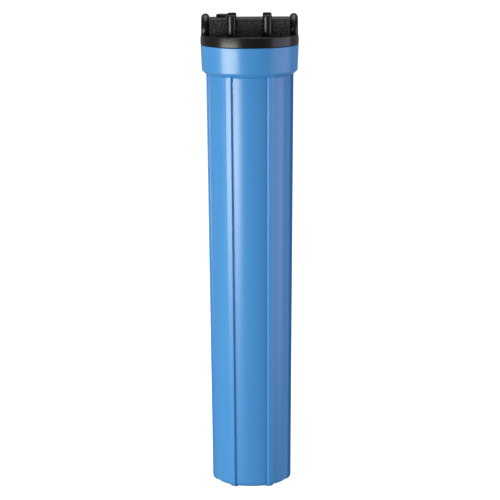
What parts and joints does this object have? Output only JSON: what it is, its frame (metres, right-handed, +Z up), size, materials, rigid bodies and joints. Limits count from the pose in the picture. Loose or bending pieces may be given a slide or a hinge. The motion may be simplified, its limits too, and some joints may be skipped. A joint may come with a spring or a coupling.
{
  "type": "cartridge filter housing",
  "caption": "Tall ribbed filter housing: a screw-on sump under a head with side ports, screw posts and a push-button relief valve, holding a pleated cartridge.",
  "frame": {"origin": "under the centre of the foot, on the surface that the housing stands on", "axes": "+Z up the housing's axis, +X towards the outlet port, -Y towards the front"},
  "size_m": [0.117, 0.117, 0.568],
  "materials": {
    "head_plastic": "moulded black polypropylene, satin with a fine grain on the block",
    "button_plastic": "smooth moulded black plastic",
    "sump_plastic": "smooth moulded blue polypropylene",
    "seal_rubber": "greased black rubber",
    "steel": "bright stainless steel",
    "core_plastic": "natural white moulded plastic",
    "media": "white non-woven polyester, pleated",
    "end_cap_rubber": "blue moulded soft plastic"
  },
  "bodies": {
    "sump_body": {"sump": "sump_plastic", "cartridge_core": "core_plastic", "pleated_media": "media", "top_end_cap": "end_cap_rubber", "bottom_end_cap": "end_cap_rubber"},
    "seal_body": {"sump_o_ring": "seal_rubber"},
    "head_body": {"filter_head": "head_plastic"},
    "relief_valve": {"relief_button": "button_plastic", "relief_spring": "steel", "relief_seal": "seal_rubber", "relief_washer": "steel", "relief_screw": "steel"}
  },
  "joints": [
    {"name": "head_turn", "type": "hinge", "parent": "sump_body", "child": "seal_body", "pos_m": [0, 0, 0.53], "axis": [0, 0, 1], "range_deg": [0, 1080]},
    {"name": "head_lift", "type": "slide", "parent": "seal_body", "child": "head_body", "axis": [0, 0, 1], "range_m": [0, 0.015]},
    {"name": "relief_press", "type": "slide", "parent": "head_body", "child": "relief_valve", "axis": [0, 0, -1], "range_m": [0, 0.0016], "stiffness_N_per_m": 600, "springref_m": -0.002, "deforming": ["relief_spring"]}
  ],
  "couplings": [
    {"joint": "head_lift", "follows": "head_turn", "m_per_rad": 0.00079577}
  ]
}
